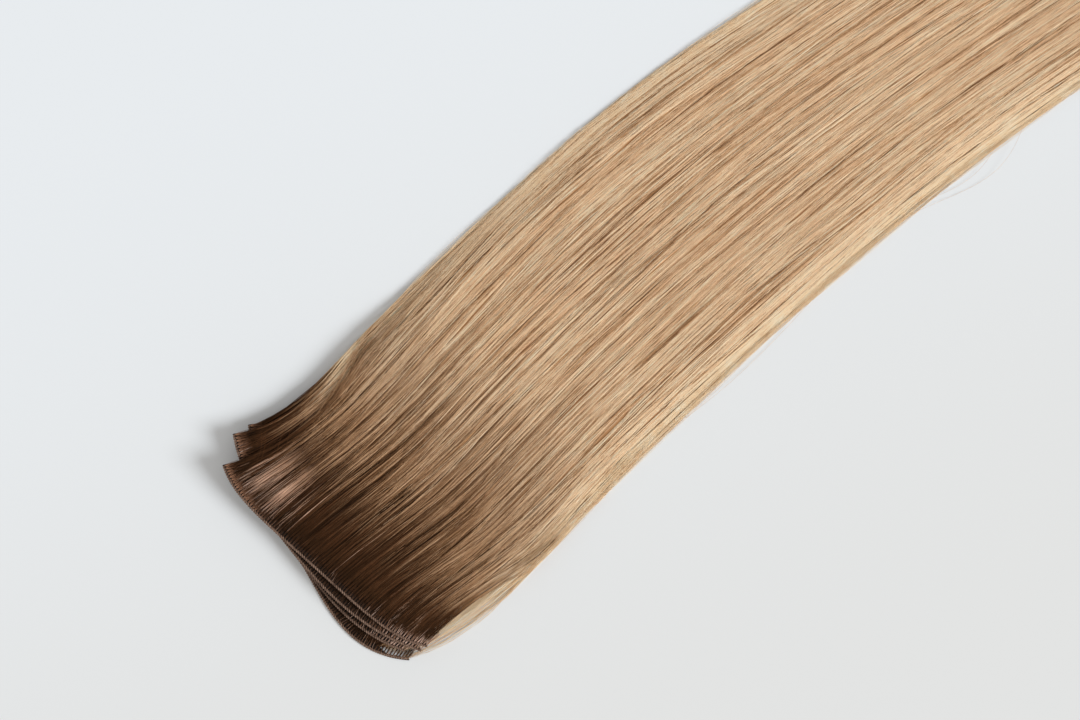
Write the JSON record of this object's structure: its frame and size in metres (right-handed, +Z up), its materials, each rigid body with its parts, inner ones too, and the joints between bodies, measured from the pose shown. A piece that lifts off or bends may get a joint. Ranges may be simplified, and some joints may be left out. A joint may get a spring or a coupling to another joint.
{
  "type": "hair weft",
  "caption": "Straight root-shaded hair extension bundle, machine-sewn weft lengths stacked flat with fanned seams, shown lying, for sewing or clipping onto hair",
  "frame": {"origin": "On the resting plane, under the middle of the sewn seams", "axes": "+X along the hair from the seams to the tips, +Y across to the hair's left edge, +Z up from the surface it lies on"},
  "size_m": [0.5283, 0.1547, 0.0133],
  "materials": {
    "hair": "silky straight hair, dark brown at the roots fading to blonde",
    "seam": "matte brown sewing thread and hair roots"
  },
  "bodies": {
    "root": {"seam_1": "seam", "seam_2": "seam", "seam_3": "seam", "seam_4": "seam", "seam_5": "seam", "hair_1": "hair", "hair_2": "hair", "hair_3": "hair", "hair_4": "hair", "hair_5": "hair"}
  },
  "joints": []
}
